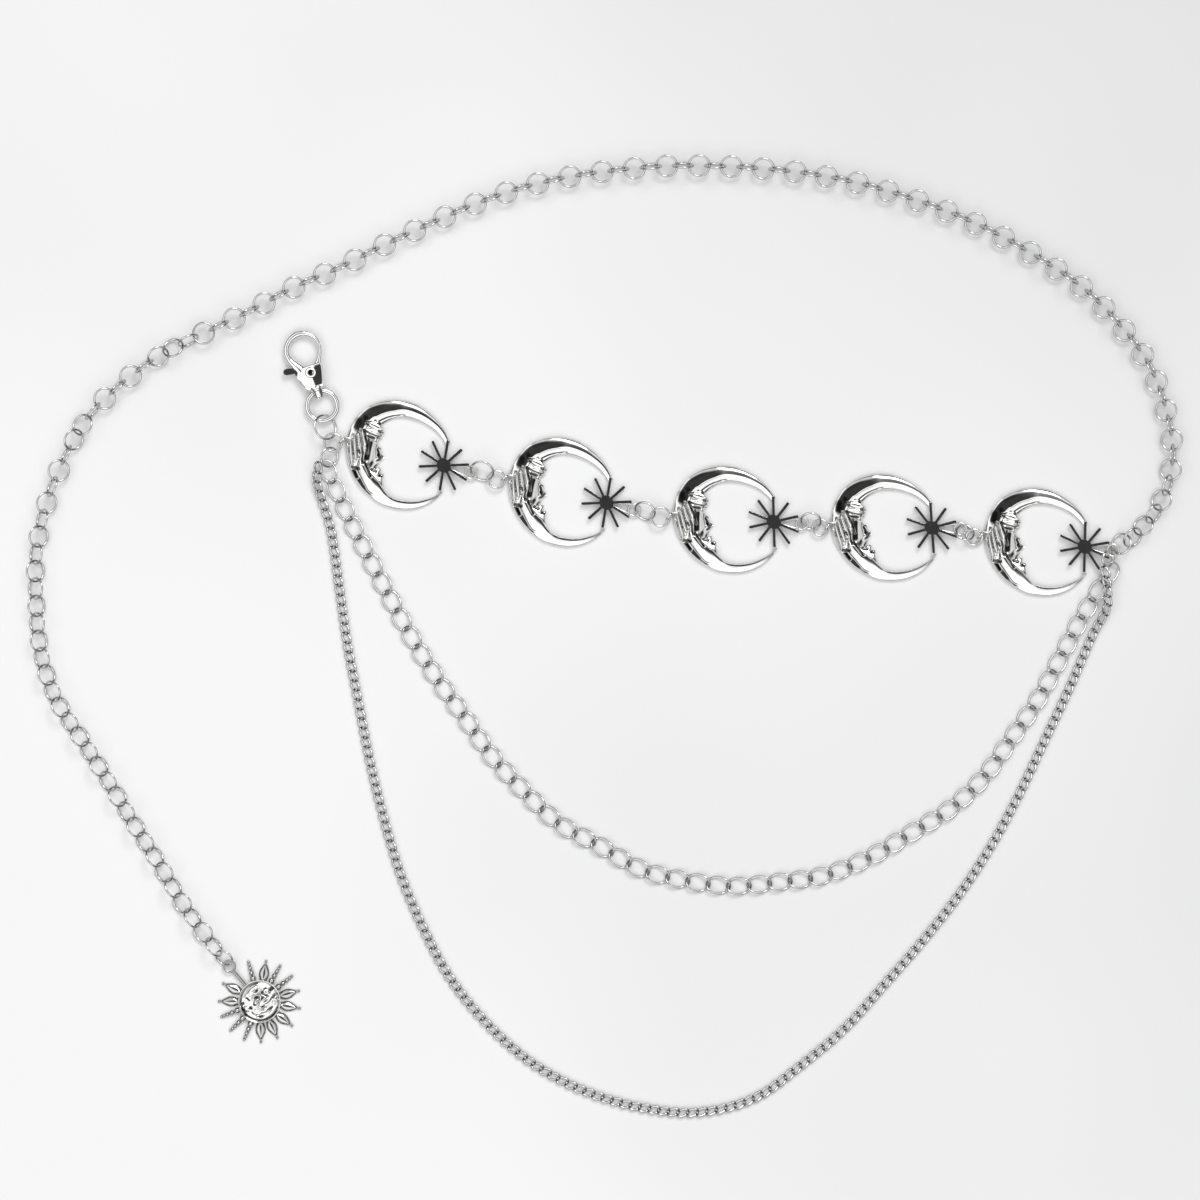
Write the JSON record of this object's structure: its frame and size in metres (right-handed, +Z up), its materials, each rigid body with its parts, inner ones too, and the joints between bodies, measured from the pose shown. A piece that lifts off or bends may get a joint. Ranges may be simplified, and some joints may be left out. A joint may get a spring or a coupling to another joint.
{
  "type": "waist chain",
  "caption": "Silver waist chain: lobster clasp on a swivel, crescent charms on jump rings, two hanging chains and a long ring chain with a sun pendant.",
  "frame": {"origin": "centre of the bounding box, on the surface that the chain lies on", "axes": "+X to the wearer's left as it lies face up, +Y towards the long chain's far run, +Z up from the surface"},
  "size_m": [0.4159, 0.3462, 0.0083],
  "materials": {
    "clasp_silver": "bright silver plate on a die cast, softly rounded",
    "wire_silver": "bright silver plate on drawn wire",
    "cast_silver": "polished silver plate on raised cast relief",
    "chain_silver": "bright silver plate on small wire links"
  },
  "bodies": {
    "root": {"swivel_eye": "clasp_silver", "clasp_ring": "wire_silver", "charm_ring": "wire_silver", "swag_ring": "wire_silver", "moon_charm_1": "cast_silver", "moon_charm_2": "cast_silver", "moon_charm_3": "cast_silver", "moon_charm_4": "cast_silver", "moon_charm_5": "cast_silver", "join_ring_1a": "wire_silver", "join_ring_1b": "wire_silver", "join_ring_2a": "wire_silver", "join_ring_2b": "wire_silver", "join_ring_3a": "wire_silver", "join_ring_3b": "wire_silver", "join_ring_4a": "wire_silver", "join_ring_4b": "wire_silver", "end_ring": "wire_silver", "drop_ring": "wire_silver", "long_chain": "chain_silver", "sun_ring": "wire_silver", "sun_pendant": "cast_silver", "curb_chain": "chain_silver", "thin_chain": "chain_silver"},
    "clasp": {"clasp_body": "clasp_silver", "clasp_rivet": "clasp_silver"},
    "lever": {"clasp_lever": "clasp_silver"}
  },
  "joints": [
    {"name": "clasp_swivel", "type": "hinge", "parent": "root", "child": "clasp", "pos_m": [-0.1032, 0.0873, 0.00235], "axis": [-0.3239, 0.9461, 0], "continuous": true},
    {"name": "lever_hinge", "type": "hinge", "parent": "clasp", "child": "lever", "pos_m": [-0.10575, 0.09473, 0.00235], "axis": [0, 0, 1], "range_deg": [0, 20], "stiffness_Nm_per_rad": 0.008, "springref_deg": -17.19}
  ]
}
